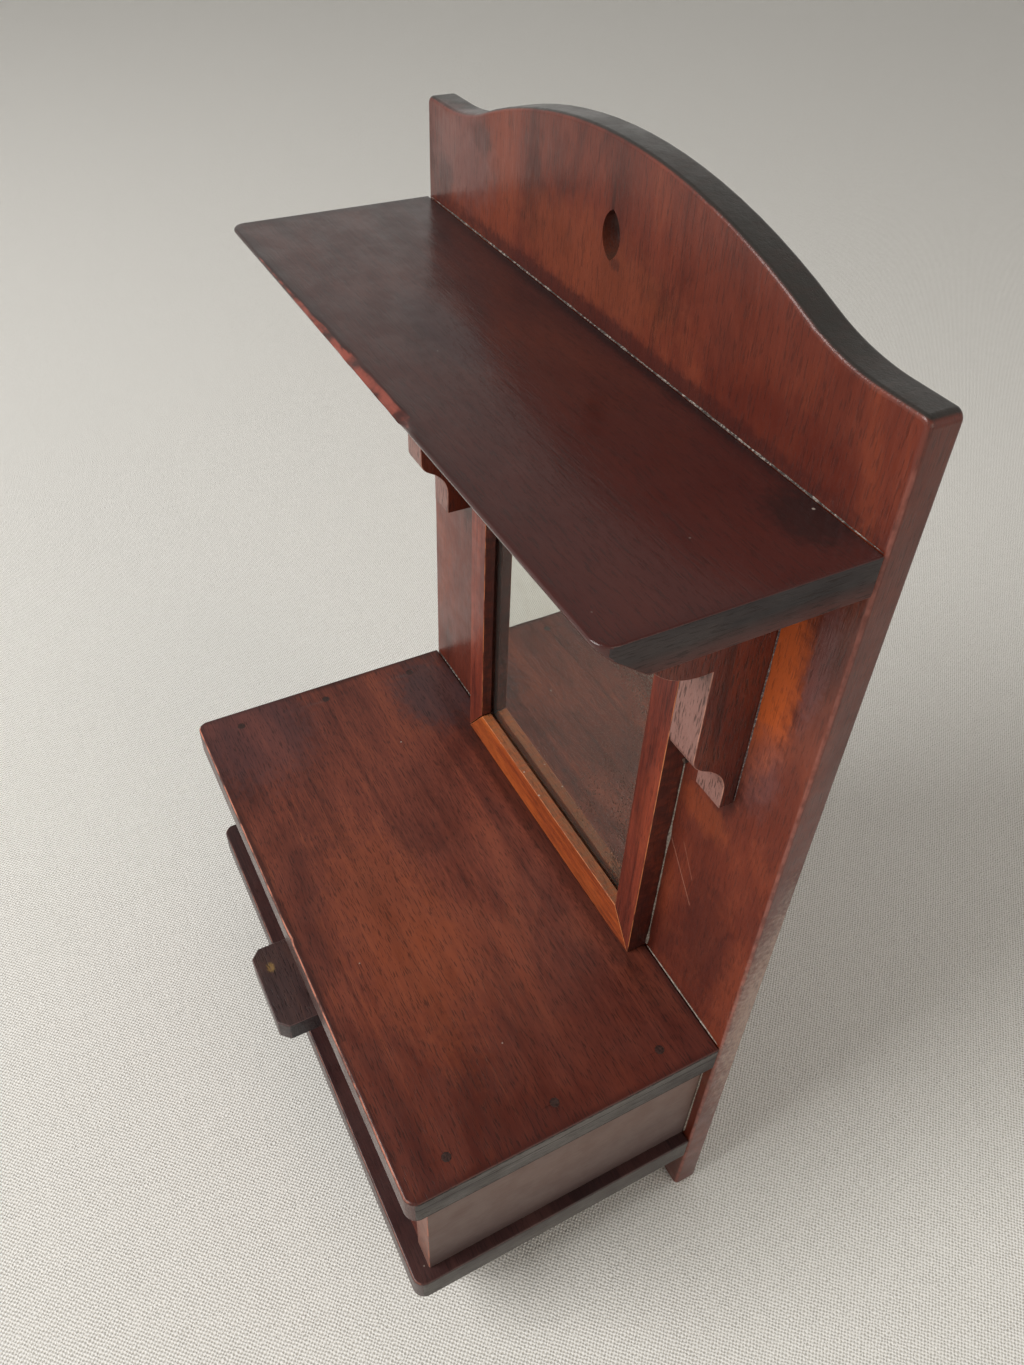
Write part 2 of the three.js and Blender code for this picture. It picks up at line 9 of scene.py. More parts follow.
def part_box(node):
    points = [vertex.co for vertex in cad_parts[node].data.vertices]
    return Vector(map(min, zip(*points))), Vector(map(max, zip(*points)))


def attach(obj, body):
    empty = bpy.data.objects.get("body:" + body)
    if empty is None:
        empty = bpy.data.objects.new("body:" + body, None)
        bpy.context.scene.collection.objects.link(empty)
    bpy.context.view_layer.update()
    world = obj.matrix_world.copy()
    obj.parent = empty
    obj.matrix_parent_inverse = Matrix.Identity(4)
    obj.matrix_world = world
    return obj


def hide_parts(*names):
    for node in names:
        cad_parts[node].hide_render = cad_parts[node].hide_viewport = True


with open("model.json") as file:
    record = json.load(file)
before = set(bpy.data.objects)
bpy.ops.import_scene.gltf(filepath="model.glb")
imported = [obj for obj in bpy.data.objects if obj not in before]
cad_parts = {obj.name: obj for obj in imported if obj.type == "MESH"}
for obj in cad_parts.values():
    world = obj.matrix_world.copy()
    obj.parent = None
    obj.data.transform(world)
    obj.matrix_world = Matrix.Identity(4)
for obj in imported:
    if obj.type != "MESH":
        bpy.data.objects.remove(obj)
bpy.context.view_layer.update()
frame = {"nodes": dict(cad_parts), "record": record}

MM = 0.001
CORNER_ANGLE = math.radians(25)  # a piece's edge that turns more than this is rounded
SHARP_ANGLE = math.radians(34)  # a finished edge that turns more than this is shaded as a corner
FLAT_ANGLE = math.radians(0.8)  # faces that turn less than this are one face
SAME_POINT = 2e-6
SLIVER = 6e-5  # edges shorter than this are dissolved
HOLE_MARGIN = 0.0007  # how far past a nail its hole's edge may lie
WEAR_SCALE, FINE_WEAR_SCALE = 110, 420  # blobs to the metre
RING_SPACING = 0.0016  # along a bead


# ---- Where things are -------------------------------------------------------------------------
# Metres in the row frame: +X is the shelf's right, -Y its front, +Z up, the ground at z = 0.

BOARD_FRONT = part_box("back_board")[0].y
LOWER_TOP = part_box("lower_shelf")[1].z
BASE_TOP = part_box("base_board")[1].z
UPPER_LOW, UPPER_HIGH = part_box("upper_shelf")
OPENINGS = {o["name"]: o["box_m"] for o in frame["record"]["physics"]["openings"]}
HANG_LOW, HANG_HIGH = (Vector(corner) for corner in OPENINGS["hanging_hole"])
HANG_MARGIN = Vector((2.5, 0, 2.5)) * MM  # the hole is a pointed oval, and its opening a box in it
HOLES = [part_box(n) for n in frame["nodes"] if "nail" in n or "pin" in n or "screw" in n]
HOLES.append((HANG_LOW - HANG_MARGIN, HANG_HIGH + HANG_MARGIN))


def srgb(red, green, blue):
    """A colour given as it looks on screen, 0 to 255, as linear values."""
    def linear(c):
        c /= 255
        return c / 12.92 if c <= 0.04045 else ((c + 0.055) / 1.055) ** 2.4
    return (linear(red), linear(green), linear(blue), 1.0)


def darker(colour, share):
    return tuple(share * c for c in colour[:3]) + (1.0,)


# ---- Shader building --------------------------------------------------------------------------

AXES = {"X": (1, 0, 0), "Y": (0, 1, 0), "Z": (0, 0, 1)}


class Shader:
    """A material whose nodes are made by short calls. Lengths inside it are in millimetres."""

    def __init__(self, name, seed):
        self.material = bpy.data.materials.new(name)
        self.material.use_nodes = True
        self.tree = self.material.node_tree
        self.tree.nodes.clear()
        self.surface = self.tree.nodes.new("ShaderNodeBsdfPrincipled")
        output = self.tree.nodes.new("ShaderNodeOutputMaterial")
        self.tree.links.new(self.surface.outputs[0], output.inputs[0])
        coordinates = self.tree.nodes.new("ShaderNodeTexCoord").outputs["Object"]
        self.point = self.vector("MULTIPLY", coordinates, (1000, 1000, 1000))
        self.shifted = self.vector("ADD", self.point, (seed * 171.3, seed * 93.7, seed * 57.1))
        self.xyz = self.node("SeparateXYZ", {0: self.point}).outputs
        geometry = self.tree.nodes.new("ShaderNodeNewGeometry")
        self.facing = geometry.outputs["Normal"]

    def node(self, kind, inputs, **settings):
        made = self.tree.nodes.new("ShaderNode" + kind)
        for key, value in settings.items():
            setattr(made, key, value)
        for key, value in inputs.items():
            if isinstance(value, bpy.types.NodeSocket):
                self.tree.links.new(value, made.inputs[key])
            else:
                made.inputs[key].default_value = value
        return made

    def math(self, operation, a, b=0.0, clamp=False):
        return self.node("Math", {0: a, 1: b}, operation=operation, use_clamp=clamp).outputs[0]

    def total(self, *parts):
        """The sum of values, each times its weight."""
        result = None
        for value, weight in parts:
            part = self.math("MULTIPLY", value, weight)
            result = part if result is None else self.math("ADD", result, part)
        return result

    def vector(self, operation, a, b):
        made = self.node("VectorMath", {0: a, 1: b}, operation=operation)
        return made.outputs["Value" if operation in ("DOT_PRODUCT", "LENGTH") else "Vector"]

    def noise(self, scale, stretch=(1, 1, 1), detail=3.0, rough=0.55, twist=0.0, shift=0.0):
        """Noise from 0 to 1 with about `scale` blobs to the millimetre, drawn out along an axis."""
        place = self.vector("MULTIPLY", self.shifted, stretch)
        if shift:
            place = self.vector("ADD", place, (shift, shift * 2, -shift))
        made = self.node("TexNoise", {
            "Vector": place, "Scale": scale, "Detail": detail, "Roughness": rough,
            "Distortion": twist,
        })
        return made.outputs[0]

    def step(self, value, low, high, start=0.0, end=1.0):
        """A smooth change from start to end as the value goes from low to high."""
        made = self.node(
            "MapRange", {0: value, 1: low, 2: high, 3: start, 4: end},
            interpolation_type="SMOOTHSTEP",
        )
        return made.outputs[0]

    def mix(self, mask, a, b):
        made = self.node("Mix", {0: mask, 6: a, 7: b}, data_type="RGBA", blend_type="MIX")
        return made.outputs[2]

    def ramp(self, value, colours, low=0.32, high=0.68):
        made = self.node("ValToRGB", {0: value})
        stops = made.color_ramp.elements
        for i, colour in enumerate(colours):
            at = low + (high - low) * i / (len(colours) - 1)
            stop = stops[i] if i < 2 else stops.new(at)
            stop.position = at
            stop.color = colour
        return made.outputs[0]

    def bump(self, height, distance, normal=None):
        """Height from 0 to 1 stands `distance` metres proud."""
        inputs = {"Height": height, "Distance": distance, "Strength": 1.0}
        if normal is not None:
            inputs["Normal"] = normal
        return self.node("Bump", inputs).outputs[0]

    def towards(self, direction):
        """1 on faces that look along the direction, 0 on those that don't."""
        return self.step(self.vector("DOT_PRODUCT", self.facing, direction), 0.55, 0.85)

    def band(self, axis, at, width):
        """1 within `width` of a plane across the axis, with an uneven edge."""
        away = self.math("ABSOLUTE", self.math("SUBTRACT", self.xyz["XYZ".index(axis)], at))
        uneven = self.math("MULTIPLY", self.noise(0.5, detail=2), width * 1.2)
        return self.step(self.math("ADD", away, uneven), width, width * 1.7, 1.0, 0.0)

    def patch(self, centre, radii):
        """1 inside an ellipsoid, fading out towards its ragged edge."""
        offset = self.vector("SUBTRACT", self.point, centre)
        scaled = self.vector("DIVIDE", offset, radii)
        ragged = self.noise(2.2 / min(radii), detail=3.0)
        size = self.math("ADD", self.vector("LENGTH", scaled, (0, 0, 0)), ragged)
        return self.step(size, 0.95, 1.65, 1.0, 0.0)

    def scratch(self, start, end, width):
        """1 along a straight line between two points."""
        run = tuple(b - a for a, b in zip(start, end))
        length = sum(r * r for r in run)
        offset = self.vector("SUBTRACT", self.point, start)
        share = self.math("DIVIDE", self.vector("DOT_PRODUCT", offset, run), length, clamp=True)
        shares = self.node("CombineXYZ", {0: share, 1: share, 2: share}).outputs[0]
        nearest = self.vector("MULTIPLY", shares, run)
        away = self.vector("LENGTH", self.vector("SUBTRACT", offset, nearest), (0, 0, 0))
        return self.step(away, 0.3 * width, width, 1.0, 0.0)

    def border(self, low, high, width):
        """1 at the edges of a board, 0 further in than about `width`. Its thin axis is left out."""
        thin = min(range(3), key=lambda i: high[i] - low[i])
        inside = None
        for i in (i for i in range(3) if i != thin):
            near = self.math("SUBTRACT", self.xyz[i], low[i] / MM)
            far = self.math("SUBTRACT", high[i] / MM, self.xyz[i])
            edge = self.math("MINIMUM", near, far)
            inside = edge if inside is None else self.math("MINIMUM", inside, edge)
        ragged = self.math("MULTIPLY", self.noise(0.06, detail=3.0, shift=31.0), width * 0.9)
        depth = self.math("SUBTRACT", inside, ragged)
        return self.step(depth, -0.35 * width, 0.6 * width, 1.0, 0.0)

    def attribute(self, name):
        return self.node("Attribute", {}, attribute_name=name).outputs["Fac"]

    def finish(self, colour, roughness, normal, **sockets):
        """Links what varies over the surface, and sets what doesn't on the shader's own sockets."""
        for key, value in {"Base Color": colour, "Roughness": roughness, "Normal": normal}.items():
            if isinstance(value, bpy.types.NodeSocket):
                self.tree.links.new(value, self.surface.inputs[key])
            elif value is not None:
                self.surface.inputs[key].default_value = value
        for key, value in sockets.items():
            self.surface.inputs[key.replace("_", " ")].default_value = value
        return self.material


# ---- Wood -------------------------------------------------------------------------------------

WORN_ARRIS = srgb(196, 122, 98)
DUST = srgb(178, 168, 158)
OPEN_PORE = (0.012, 0.005, 0.004, 1.0)


def wood(name, palette, grain, seed, worn=0.75, gloss=0.16, coat=0.5, rough=(0.34, 0.55),
         faces=(), bands=(), patches=(), contrast=0.7, blotches=0.6, streaks=0.4, pores=0.4,
         specks=0.7, relief=1.0, worn_colour=WORN_ARRIS, border=None, fades=(), scratches=()):
    """Polished wood with its grain along one axis. Lengths and places are in millimetres.

    palette:   colours from dark to light
    worn:      how much worn_colour shows where the mesh says that a corner is rubbed
    gloss:     the roughness of the polish, which covers the wood by `coat`
    rough:     the wood's own roughness, from and to
    faces:     (direction, colour, strength) for sides whose polish or end grain looks different
    bands:     (axis, place, width, colour, strength) for dusty or dirty lines
    patches:   (centre, radii, colour, strength) for stains, chips and worn places, and for
           painted shade, sheen and reflections
    border:    (low, high, width, strength) for a darker tint round a board's edges, with the
           board's corners in metres
    fades:     (axis, from, to, colour, strength) for a tint that grows along an axis
    scratches: (start, end, width, colour, strength)
    """
    def drawn_out(scale):
        """Stretches a pattern along the grain."""
        return [scale if grain == axis else 1.0 for axis in "XYZ"]

    s = Shader(name, seed)
    broad = s.noise(0.05, drawn_out(0.25), detail=2.0, twist=0.5)
    streak = s.noise(0.28, drawn_out(0.055), detail=4.0, rough=0.6, twist=0.35)
    fibre = s.noise(1.7, drawn_out(0.055), detail=3.0, rough=0.7)
    fine = s.noise(0.9, drawn_out(0.033), detail=4.0, rough=0.7, twist=0.2, shift=61.0)
    figure = s.total((broad, 0.34), (streak, 0.22), (fine, 0.28), (fibre, 0.16))
    spread = 0.12 / contrast
    colour = s.ramp(figure, palette, 0.5 - spread, 0.5 + spread)
    dark = s.noise(0.11, drawn_out(0.033), detail=3.0, rough=0.6, twist=0.8, shift=23.0)
    colour = s.mix(s.step(dark, 0.55, 0.7, 0.0, streaks), colour, palette[0])
    cloud = s.noise(0.03, drawn_out(0.5), detail=5.0, rough=0.62, twist=0.6, shift=41.0)
    colour = s.mix(s.step(cloud, 0.5, 0.68, 0.0, blotches), colour, palette[0])
    colour = s.mix(s.step(cloud, 0.34, 0.5, blotches * 0.8, 0.0), colour, palette[-1])

    if border:
        low, high, width, strength = border
        mask = s.math("MULTIPLY", s.border(low, high, width), strength)
        colour = s.mix(mask, colour, darker(palette[0], 0.55))
    for axis, start, end, tint, strength in fades:
        run = end - start
        place = s.math("ADD", s.xyz["XYZ".index(axis)], s.math("MULTIPLY", cloud, run * 0.5))
        growth = s.node(
            "MapRange",
            {0: place, 1: start + run * 0.25, 2: end + run * 0.25, 3: 0.0, 4: strength},
            clamp=True,
        )
        colour = s.mix(growth.outputs[0], colour, tint)
    for direction, tint, strength in faces:
        least = strength * (0.45 if strength < 0.9 else 0.95)
        ragged = s.noise(0.5, (1, 0.35, 0.6), detail=4.0, rough=0.7, shift=3.0)
        uneven = s.step(ragged, 0.3, 0.62, least, strength)
        colour = s.mix(s.math("MULTIPLY", s.towards(direction), uneven), colour, tint)
    for centre, radii, tint, strength in patches:
        colour = s.mix(s.math("MULTIPLY", s.patch(centre, radii), strength), colour, tint)
    for start, end, width, tint, strength in scratches:
        mask = s.math("MULTIPLY", s.scratch(start, end, width), strength)
        colour = s.mix(mask, colour, tint)
    pore = s.noise(2.1, drawn_out(0.1), detail=2.0, rough=0.6, shift=7.0)
    pits = s.step(pore, 0.54, 0.64, 0.0, pores)
    colour = s.mix(pits, colour, OPEN_PORE)

    rub = s.step(s.noise(0.16, detail=3.0, shift=11.0), 0.35, 0.6, 0.1, 1.0)
    rub = s.math("MULTIPLY", rub, s.step(fibre, 0.2, 0.55, 0.55, 1.0))
    edge = s.math("MULTIPLY", s.step(s.attribute("worn"), 0.35, 0.95), rub)
    edge = s.math("MULTIPLY", edge, worn)
    colour = s.mix(edge, colour, worn_colour)
    dusty = None
    for axis, place, width, tint, strength in bands:
        mask = s.math("MULTIPLY", s.band(axis, place, width), strength)
        colour = s.mix(mask, colour, tint)
        dusty = mask if dusty is None else s.math("MAXIMUM", dusty, mask)
    if specks:
        cells = s.node("TexVoronoi", {"Vector": s.shifted, "Scale": 0.16}, feature="F1")
        near = s.step(cells.outputs["Distance"], 0.04, 0.08, 1.0, 0.0)
        few = s.step(cells.outputs["Color"], 0.82, 0.84)
        colour = s.mix(s.math("MULTIPLY", s.math("MULTIPLY", near, few), specks), colour, DUST)

    roughness = s.step(s.noise(0.09, detail=3.0, shift=5.0), 0.3, 0.7, *rough)
    roughness = s.math("ADD", roughness, s.math("MULTIPLY", edge, 0.2), clamp=True)
    if dusty is not None:
        roughness = s.math("ADD", roughness, s.math("MULTIPLY", dusty, 0.4), clamp=True)

    height = s.total((fibre, 0.5), (pits, -0.5), (streak, 0.8))
    normal = s.bump(height, 0.00006 * relief)
    brushed = s.noise(0.45, drawn_out(0.3), detail=3.0, rough=0.6, shift=17.0)
    normal = s.bump(brushed, 0.00007 * relief, normal)
    s.tree.links.new(normal, s.surface.inputs["Coat Normal"])
    return s.finish(
        colour, roughness, normal, Coat_Weight=coat, Coat_Roughness=gloss, Coat_IOR=1.5,
        Specular_IOR_Level=0.2,
    )


def dusty_glue(name, tint, seed):
    """Old glue with dust stuck to its lumps."""
    s = Shader(name, seed)
    lumps = s.noise(1.2, detail=4.0, rough=0.7)
    colour = s.ramp(lumps, [darker(tint, 0.35), tint, DUST], 0.3, 0.7)
    return s.finish(colour, s.step(lumps, 0.3, 0.7, 0.95, 0.7), s.bump(lumps, 0.0002))


def iron(name):
    """Old nails, pins and screw, partly rusted."""
    s = Shader(name, 4)
    rust = s.noise(1.1, detail=4.0, rough=0.65)
    colour = s.ramp(rust, [srgb(34, 28, 26), srgb(58, 46, 40), srgb(104, 62, 40)], 0.35, 0.7)
    return s.finish(colour, s.step(rust, 0.3, 0.7, 0.4, 0.8), s.bump(rust, 0.00008), Metallic=0.6)


def filler(name):
    """Dark stopping over the nails."""
    s = Shader(name, 9)
    lumps = s.noise(1.5, detail=3.0)
    colour = s.ramp(lumps, [srgb(32, 18, 15), srgb(46, 26, 21), srgb(66, 36, 28)])
    return s.finish(colour, s.step(lumps, 0.3, 0.7, 0.35, 0.65), s.bump(lumps, 0.0001))


def silvered_glass(name, low, high):
    """Old looking glass: spots where the silver has gone, thickest along its right edge."""
    s = Shader(name, 2)
    across = s.step(s.xyz[0], low.x / MM, high.x / MM)
    down = s.step(s.xyz[2], low.z / MM, high.z / MM, 1.0, 0.0)
    cluster = s.noise(0.035, detail=3.0, rough=0.6)
    wear = s.math("MULTIPLY", s.math("ADD", across, s.math("MULTIPLY", down, 0.4)), 0.16)
    wear = s.math("ADD", wear, s.math("MULTIPLY", s.math("SUBTRACT", cluster, 0.5), 0.55))
    dots = s.noise(0.9, detail=4.0, rough=0.75, shift=9.0)
    spots = s.step(s.math("ADD", dots, wear), 0.76, 0.86, 0.0, 0.7)
    haze = s.step(s.math("ADD", s.noise(0.12, detail=4.0), wear), 0.45, 1.05, 0.0, 0.25)
    clear = s.mix(haze, srgb(214, 214, 206), srgb(172, 158, 140))
    colour = s.mix(spots, clear, srgb(96, 74, 58))
    roughness = s.math("ADD", s.math("MULTIPLY", spots, 0.5), s.math("MULTIPLY", haze, 0.06))
    roughness = s.math("ADD", roughness, 0.015, clamp=True)
    ripple = s.noise(0.02, detail=1.0)
    return s.finish(colour, roughness, s.bump(ripple, 0.00012), Metallic=0.95)


def cloth_floor(name):
    """Plain unbleached cloth in a fine square weave, with threads that wander a little."""
    turns = 3.7  # radians of a thread's wave to the millimetre, so a thread is about 0.8 mm wide
    s = Shader(name, 1)
    threads = []
    for axis, stretch in ((0, (1.0, 0.06, 1)), (1, (0.06, 1.0, 1))):
        wander = s.noise(0.5, stretch, detail=3.0, rough=0.6, shift=axis * 9.0)
        threads.append(s.math("SINE", s.total((s.xyz[axis], turns), (wander, 5.0))))
    slubs = s.noise(1.6, detail=3.0, rough=0.7)
    weave = s.total((s.math("MULTIPLY", *threads), 0.42), (slubs, 0.9))
    pale = [srgb(196, 193, 185), srgb(240, 238, 232), srgb(253, 252, 249)]
    colour = s.ramp(weave, pale, 0.1, 0.75)
    return s.finish(colour, 0.92, s.bump(weave, 0.00035), Specular_IOR_Level=0.2)


# ---- Mesh building ----------------------------------------------------------------------------

def new_object(name, mesh_source, material):
    """An object from a bmesh, shaded smooth except over its sharp edges."""
    mesh = bpy.data.meshes.new(name)
    mesh_source.normal_update()
    mesh_source.to_mesh(mesh)
    mesh_source.free()
    mesh.shade_smooth()
    mesh.set_sharp_from_angle(angle=SHARP_ANGLE)
    mesh.materials.append(material)
    made = bpy.data.objects.new(name, mesh)
    bpy.context.scene.collection.objects.link(made)
    weighted = made.modifiers.new("weighted", "WEIGHTED_NORMAL")
    weighted.keep_sharp = True
    return made


def near_a_hole(edge):
    """Whether an edge belongs to a nail's hole or the hanging hole."""
    def inside(point, low, high):
        return all(low[i] - HOLE_MARGIN < point[i] < high[i] + HOLE_MARGIN for i in range(3))
    return any(all(inside(v.co, *box) for v in edge.verts) for box in HOLES)


def slice_up(mesh, axis, places):
    """Cuts a mesh along planes across an axis, so that its long edges can be worn unevenly."""
    for place in places:
        bmesh.ops.bisect_plane(
            mesh, geom=mesh.verts[:] + mesh.edges[:] + mesh.faces[:], dist=1e-7,
            plane_co=Vector(AXES[axis]) * place, plane_no=AXES[axis],
        )


def spaced(low, high, pitch):
    """Evenly spaced places between two ends, about a pitch apart."""
    count = max(1, round((high - low) / pitch))
    return [low + (high - low) * i / count for i in range(1, count)]


def board(node, material, body="shelf", bevel=0.7, wobble=0.15, pitch=4.0,
          axis=None, dents=(), shape=None, rubbed=None, ends=None):
    """A finished piece that stands for a CAD node: its corners are rounded and worn unevenly.

    bevel:  how far back the corners are rounded, in millimetres
    wobble: how deep the wear goes, in millimetres
    pitch:  how far apart the cuts are that let the wear vary, in millimetres along `axis`
    dents:  (centre, radius, push), in metres
    shape:  a last change to the mesh
    rubbed: a function that says from 0 to 1 how bare the corner is at a point
    ends:   the material of the end grain at the left and right
    """
    low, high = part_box(node)
    mesh = bmesh.new()
    mesh.from_mesh(frame["nodes"][node].data)
    bmesh.ops.remove_doubles(mesh, verts=mesh.verts, dist=SAME_POINT)
    bmesh.ops.dissolve_limit(mesh, angle_limit=FLAT_ANGLE, verts=mesh.verts, edges=mesh.edges)
    corners = [
        e for e in mesh.edges
        if len(e.link_faces) == 2 and e.calc_face_angle(0) > CORNER_ANGLE
        and not near_a_hole(e)
    ]
    rounded = bmesh.ops.bevel(
        mesh, geom=corners, offset=bevel * MM, segments=3, profile=0.5, affect="EDGES",
        clamp_overlap=False,
    )
    rim = set(rounded["faces"])
    bmesh.ops.dissolve_degenerate(mesh, edges=mesh.edges, dist=SLIVER)
    rim = {face for face in rim if face.is_valid}
    worn = mesh.verts.layers.float.new("worn")
    for vertex in mesh.verts:
        vertex[worn] = float(bool(vertex.link_faces) and all(f in rim for f in vertex.link_faces))
    size = high - low
    long_axis = axis or "XYZ"[max(range(3), key=lambda i: size[i])]
    i = "XYZ".index(long_axis)
    slice_up(mesh, long_axis, spaced(low[i], high[i], pitch * MM))
    mesh.normal_update()
    for vertex in mesh.verts:
        if rubbed and vertex[worn]:
            vertex[worn] *= rubbed(vertex.co)
        rough = noise.noise(vertex.co * WEAR_SCALE + Vector((1, 0, 0)))
        fine = noise.noise(vertex.co * FINE_WEAR_SCALE + Vector((0, 1, 0)))
        depth = max(0.0, 0.5 + 0.6 * rough + 0.3 * fine)
        vertex.co -= vertex.normal * vertex[worn] * wobble * MM * depth
    for centre, radius, push in dents:
        slice_up(mesh, "Y", [centre[1] + share * radius for share in (-1.0, -0.5, 0.0, 0.5, 1.0)])
        for vertex in mesh.verts:
            reach = (vertex.co - Vector(centre)).length / radius
            if reach < 1:
                vertex.co += Vector(push) * (1 - reach ** 2) ** 2
                vertex[worn] = max(vertex[worn], 1 - reach)
    if shape:
        shape(mesh, worn)
    for vertex in mesh.verts:
        vertex.co = Vector(min(max(vertex.co[k], low[k]), high[k]) for k in range(3))
    bmesh.ops.dissolve_degenerate(mesh, edges=mesh.edges, dist=SLIVER)
    mesh.normal_update()
    for face in mesh.faces:
        face.material_index = int(ends is not None and abs(face.normal.x) > 0.9)
    made = new_object(node + "_finished", mesh, material)
    if ends:
        made.data.materials.append(ends)
    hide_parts(node)
    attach(made, body)


def skin(mesh, rings):
    """Faces over a row of rings of vertices, with both ends closed."""
    around = len(rings[0])
    for a, b in zip(rings, rings[1:]):
        for j in range(around):
            k = (j + 1) % around
            mesh.faces.new((a[j], a[k], b[k], b[j]))
    mesh.faces.new(rings[0][::-1])
    mesh.faces.new(rings[-1])


def bead(name, start, end, flanks, radius, material, seed, slot="mahogany", lumps=()):
    """An uneven fillet of old glue and dust along a corner.

    flanks: the two directions that its sides run in from the corner
    lumps:  (share of the length, extra radius)
    """
    start, end = Vector(start), Vector(end)
    first, second = (Vector(flank) for flank in flanks)
    count = max(6, round((end - start).length / RING_SPACING))
    mesh = bmesh.new()
    rings = []
    for i in range(count + 1):
        share = i / count
        at = start.lerp(end, share)
        size = radius * (0.75 + 0.45 * noise.noise(at * 260 + Vector((seed, seed, 0))))
        size += sum(extra * math.exp(-((share - place) / 0.02) ** 2) for place, extra in lumps)
        size *= min(1.0, 0.25 + 8 * min(share, 1 - share))
        rings.append([
            mesh.verts.new(at + first * (size * a) + second * (size * b))
            for a, b in ((0, 0), (1, 0), (0.72, 0.2), (0.4, 0.4), (0.2, 0.72), (0, 1))
        ])
    skin(mesh, rings)
    bmesh.ops.recalc_face_normals(mesh, faces=mesh.faces)
    made = new_object(name, mesh, material)
    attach(made, "shelf")


# ---- Camera, light and floor ------------------------------------------------------------------

CAMERA_PLACE = (0.2331, -0.0969, 0.4467)
CAMERA_AIM = (-0.0408, 0.0585, 0.1515)
CAMERA_ROLL = math.radians(2.63)
CAMERA_LENS = 28.28
# The studio is brighter round the object than over it. The heights are a direction's Z.
SIDE_LIGHT, TOP_LIGHT = 0.62, 0.27
SIDE_HEIGHT, TOP_HEIGHT = 0.2, 0.75
FLOOR_GAP = 0.0003
FLOOR_REACH = 4.0


def make_camera():
    camera = bpy.data.objects.new("camera", bpy.data.cameras.new("camera"))
    bpy.context.scene.collection.objects.link(camera)
    bpy.context.scene.camera = camera
    camera.data.lens = CAMERA_LENS
    camera.data.clip_start = 0.01
    camera.location = CAMERA_PLACE
    view = Vector(CAMERA_AIM) - camera.location
    turn = view.to_track_quat("-Z", "Y").to_matrix() @ Matrix.Rotation(CAMERA_ROLL, 3, "Z")
    camera.rotation_euler = turn.to_euler()


def soft_light(name, place, aim, size, power, colour):
    light = bpy.data.objects.new(name, bpy.data.lights.new(name, "AREA"))
    bpy.context.scene.collection.objects.link(light)
    light.data.shape = "RECTANGLE"
    light.data.size, light.data.size_y = size
    light.data.energy = power
    light.data.color = colour
    light.location = place
    light.rotation_euler = (Vector(aim) - Vector(place)).to_track_quat("-Z", "Y").to_euler()


def make_studio():
    world = bpy.data.worlds.new("studio")
    world.use_nodes = True
    nodes, links = world.node_tree.nodes, world.node_tree.links
    background = nodes["Background"]
    background.inputs["Color"].default_value = (1.0, 0.97, 0.925, 1)
    direction = nodes.new("ShaderNodeSeparateXYZ")
    links.new(nodes.new("ShaderNodeTexCoord").outputs["Generated"], direction.inputs[0])
    overhead = nodes.new("ShaderNodeMapRange")
    overhead.interpolation_type = "SMOOTHSTEP"
    for i, value in enumerate((SIDE_HEIGHT, TOP_HEIGHT, SIDE_LIGHT, TOP_LIGHT), 1):
        overhead.inputs[i].default_value = value
    links.new(direction.outputs["Z"], overhead.inputs[0])
    links.new(overhead.outputs[0], background.inputs["Strength"])
    bpy.context.scene.world = world
    bpy.context.scene.view_settings.view_transform = "Standard"
    soft_light("window", place=(-0.25, -1.5, 1.45), aim=(0, 0, 0.15), size=(1.2, 0.9),
               power=34.0, colour=(1.0, 0.99, 0.97))
    soft_light("warm_wall", place=(1.7, 0.25, 0.75), aim=(0.1, 0.15, 0.1), size=(1.0, 0.9),
               power=6.0, colour=(1.0, 0.86, 0.7))

    mesh = bmesh.new()
    bmesh.ops.create_grid(mesh, x_segments=24, y_segments=24, size=FLOOR_REACH)
    floor = new_object("floor", mesh, cloth_floor("cloth"))
    floor.location.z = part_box("back_board")[0].z - FLOOR_GAP


# ---- The shelf --------------------------------------------------------------------------------

BOARD_WOOD = [srgb(56, 20, 15), srgb(90, 37, 25), srgb(106, 46, 31), srgb(128, 60, 38)]
LOWER_WOOD = [srgb(52, 22, 19), srgb(93, 45, 35), srgb(113, 57, 43), srgb(138, 72, 49)]
UPPER_WOOD = [srgb(30, 13, 13), srgb(54, 25, 22), srgb(66, 31, 26), srgb(82, 40, 30)]
RAIL_WOOD = [srgb(98, 40, 20), srgb(146, 66, 32), srgb(172, 82, 36), srgb(192, 100, 44)]
STILE_WOOD = [srgb(66, 24, 18), srgb(102, 42, 30), srgb(122, 52, 36), srgb(140, 64, 40)]
BRACKET_WOOD = [srgb(48, 17, 13), srgb(80, 30, 22), srgb(96, 40, 28), srgb(116, 54, 34)]
# The case sides' wood colour, greyed and lightened into a painted sheen from the floor
SIDE_WOOD_AND_SHEEN = [srgb(80, 58, 52), srgb(102, 80, 72), srgb(110, 88, 80), srgb(118, 96, 88)]
BASE_WOOD = [srgb(34, 20, 22), srgb(54, 32, 32), srgb(66, 40, 38), srgb(78, 50, 46)]
PULL_WOOD = [srgb(34, 24, 25), srgb(56, 40, 40), srgb(70, 51, 50), srgb(90, 64, 56)]
DRAWER_WOOD = [srgb(112, 82, 54), srgb(146, 112, 76), srgb(168, 134, 94), srgb(186, 154, 112)]
END_WOOD = [srgb(20, 18, 20), srgb(40, 35, 37), srgb(52, 46, 47), srgb(70, 60, 58)]
GREY_END_WOOD = [srgb(42, 35, 34), srgb(70, 65, 63), srgb(84, 80, 77), srgb(104, 98, 94)]


def in_mm(*values):
    return tuple(v / MM for v in values)


